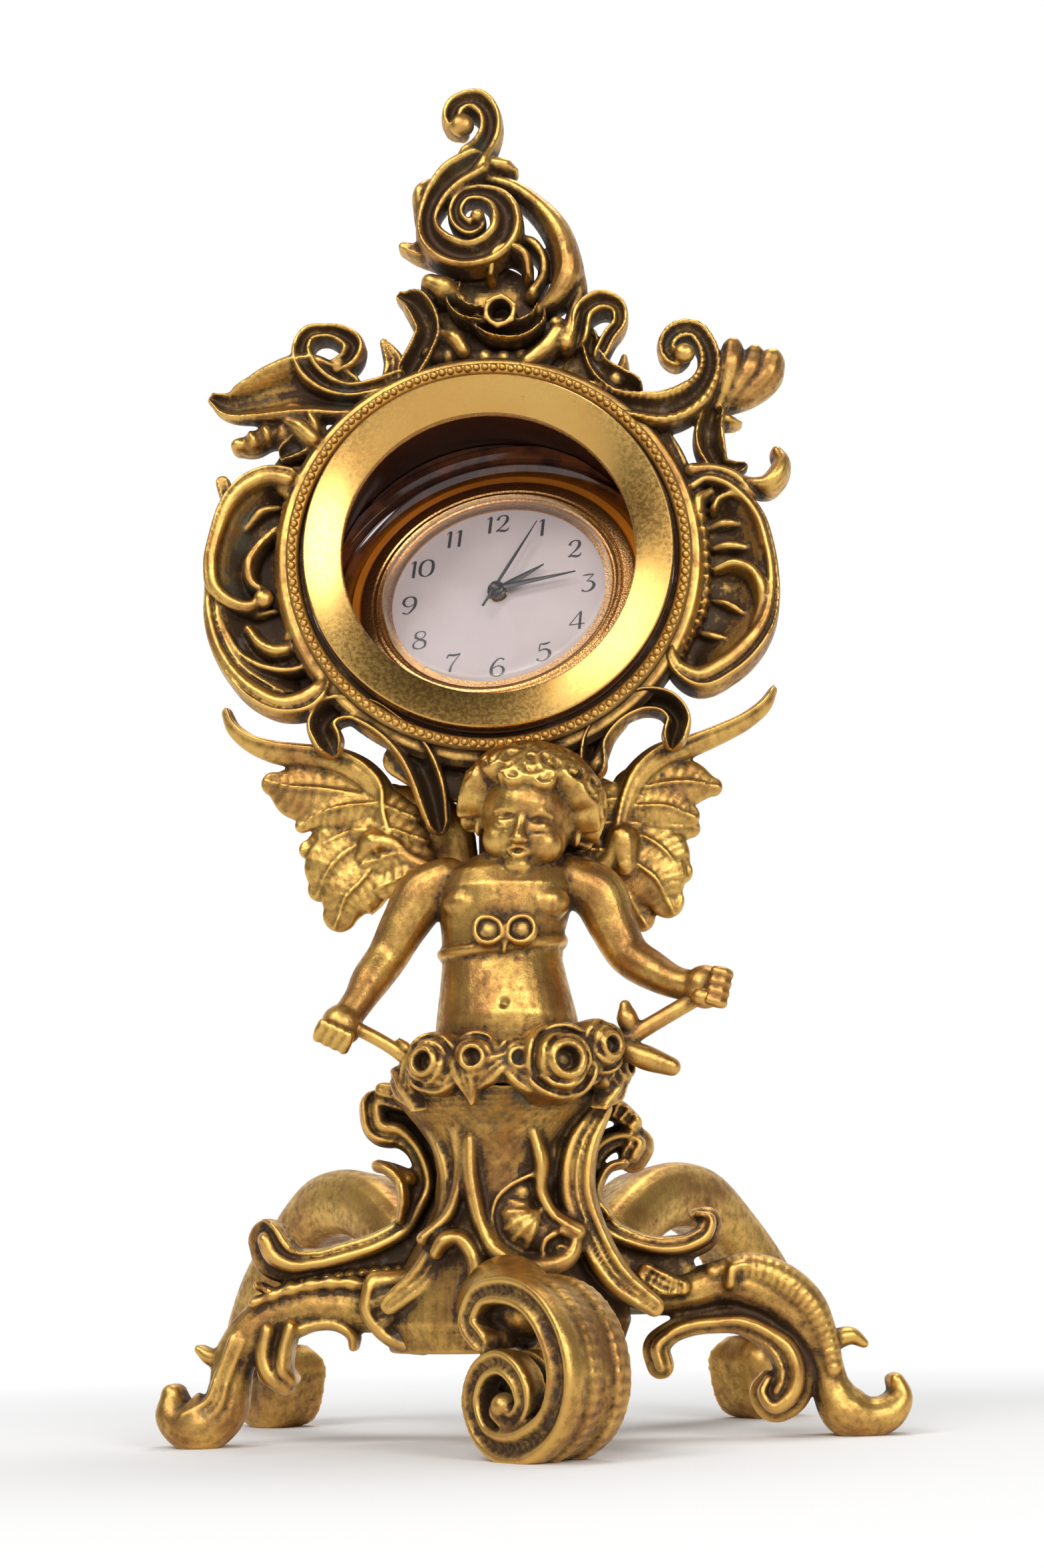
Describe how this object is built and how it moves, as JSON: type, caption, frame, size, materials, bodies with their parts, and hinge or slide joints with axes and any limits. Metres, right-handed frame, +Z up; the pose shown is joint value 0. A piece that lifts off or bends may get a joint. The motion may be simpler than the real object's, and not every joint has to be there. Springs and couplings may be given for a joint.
{
  "type": "miniature clock",
  "caption": "Miniature table clock: a winged child on a scroll-legged stand carries a round drum in a pierced scroll frame, with a small tilted quartz insert.",
  "frame": {"origin": "middle of the bounding box on the surface that the feet stand on", "axes": "+Z up, the dial faces -Y, +X to the reader's right"},
  "size_m": [0.0696, 0.0672, 0.131],
  "materials": {
    "gilt_bronze": "cast, worn gilding with dark patina in the hollows",
    "gilt_figure": "cast, darker worn gilding",
    "satin_brass": "satin, fine scratches",
    "dark_bronze": "dark patina",
    "amber_seat": "polished amber",
    "insert_gold": "matt grained outer ring, polished lip",
    "clear_glass": "polished, domed",
    "dial_white": "matt white with dark grey numerals",
    "hand_black": "satin black",
    "plain_steel": "turned steel",
    "movement_plastic": "moulded",
    "gear_brass": "fine turned brass",
    "copper_coil": "enamelled winding",
    "board_green": "circuit board",
    "cell_steel": "button cell"
  },
  "bodies": {
    "stand": {"pedestal_casting": "gilt_bronze", "left_leg": "gilt_bronze", "right_leg": "gilt_bronze", "front_leg": "gilt_bronze", "rear_left_leg": "gilt_bronze", "rear_right_leg": "gilt_bronze", "leg_screws": "plain_steel", "centre_stud": "plain_steel", "stud_washer": "plain_steel", "stud_nut": "plain_steel", "child_figure": "gilt_figure", "left_wing": "gilt_bronze", "right_wing": "gilt_bronze", "wing_screws": "plain_steel", "rose_collar": "gilt_figure", "left_branch": "gilt_figure", "right_branch": "gilt_figure", "drum_bracket": "dark_bronze", "bracket_screws": "plain_steel", "saddle_screw": "plain_steel", "drum_case": "dark_bronze", "bezel_ring": "satin_brass", "bead_rim": "satin_brass", "scroll_frame": "gilt_bronze", "frame_screws": "plain_steel", "crest": "gilt_bronze", "crest_screws": "plain_steel", "crest_flower": "gilt_bronze", "insert_seat": "amber_seat", "insert_bezel": "insert_gold", "crystal": "clear_glass", "dial": "dial_white", "insert_case": "cell_steel", "insert_back": "cell_steel", "movement_holder": "movement_plastic", "main_plate": "movement_plastic", "train_bridge": "movement_plastic", "stator": "plain_steel", "coil": "copper_coil", "circuit_board": "board_green", "quartz_can": "plain_steel", "battery": "cell_steel", "battery_clamp": "plain_steel"},
    "seconds": {"second_wheel": "gear_brass", "second_hand": "hand_black"},
    "middle": {"middle_wheel": "gear_brass"},
    "rotor": {"rotor": "plain_steel"},
    "third": {"third_wheel": "gear_brass"},
    "minutes": {"cannon_pinion": "gear_brass", "minute_hand": "hand_black"},
    "motion": {"minute_wheel": "gear_brass"},
    "hours": {"hour_wheel": "gear_brass", "hour_hand": "hand_black"},
    "setting": {"setting_wheel": "gear_brass"},
    "lever": {"setting_lever": "plain_steel"},
    "crown": {"setting_stem": "plain_steel"},
    "rear_cover": {"rear_cover": "satin_brass"}
  },
  "joints": [
    {"name": "seconds_spin", "type": "hinge", "parent": "stand", "child": "seconds", "pos_m": [-0.00132, -0.0069, 0.0795], "axis": [-0.1585, -0.9225, 0.3518], "continuous": true},
    {"name": "middle_spin", "type": "hinge", "parent": "stand", "child": "middle", "pos_m": [0.00044, -0.0077, 0.0782], "axis": [-0.1585, -0.9225, 0.3518], "continuous": true},
    {"name": "rotor_spin", "type": "hinge", "parent": "stand", "child": "rotor", "pos_m": [0.00211, -0.00817, 0.07771], "axis": [-0.1585, -0.9225, 0.3518], "continuous": true},
    {"name": "third_spin", "type": "hinge", "parent": "stand", "child": "third", "pos_m": [-0.00239, -0.00607, 0.0812], "axis": [-0.1585, -0.9225, 0.3518], "continuous": true},
    {"name": "minutes_spin", "type": "hinge", "parent": "stand", "child": "minutes", "pos_m": [-0.00132, -0.0069, 0.0795], "axis": [-0.1585, -0.9225, 0.3518], "continuous": true},
    {"name": "motion_spin", "type": "hinge", "parent": "stand", "child": "motion", "pos_m": [-0.0001, -0.00633, 0.08155], "axis": [-0.1585, -0.9225, 0.3518], "continuous": true},
    {"name": "hours_spin", "type": "hinge", "parent": "stand", "child": "hours", "pos_m": [-0.00132, -0.0069, 0.0795], "axis": [-0.1585, -0.9225, 0.3518], "continuous": true},
    {"name": "setting_spin", "type": "hinge", "parent": "stand", "child": "setting", "pos_m": [0.00013, -0.00539, 0.08412], "axis": [-0.1585, -0.9225, 0.3518], "continuous": true},
    {"name": "crown_pull", "type": "slide", "parent": "stand", "child": "lever", "axis": [0.0028, 0.3559, 0.9345], "range_m": [0, 0.001]},
    {"name": "crown_spin", "type": "hinge", "parent": "lever", "child": "crown", "pos_m": [-0.00106, -0.00408, 0.0826], "axis": [0.0028, 0.3559, 0.9345], "continuous": true},
    {"name": "rear_cover_pull", "type": "slide", "parent": "stand", "child": "rear_cover", "axis": [0, 1, 0], "range_m": [0, 0.006]}
  ],
  "couplings": [
    {"joint": "middle_spin", "follows": "seconds_spin", "ratio": -5},
    {"joint": "rotor_spin", "follows": "seconds_spin", "ratio": 30},
    {"joint": "third_spin", "follows": "seconds_spin", "ratio": -0.13333},
    {"joint": "minutes_spin", "follows": "seconds_spin", "ratio": 0.016667},
    {"joint": "motion_spin", "follows": "seconds_spin", "ratio": -0.0055556},
    {"joint": "hours_spin", "follows": "seconds_spin", "ratio": 0.0013889},
    {"joint": "setting_spin", "follows": "seconds_spin", "ratio": 0.011111}
  ]
}
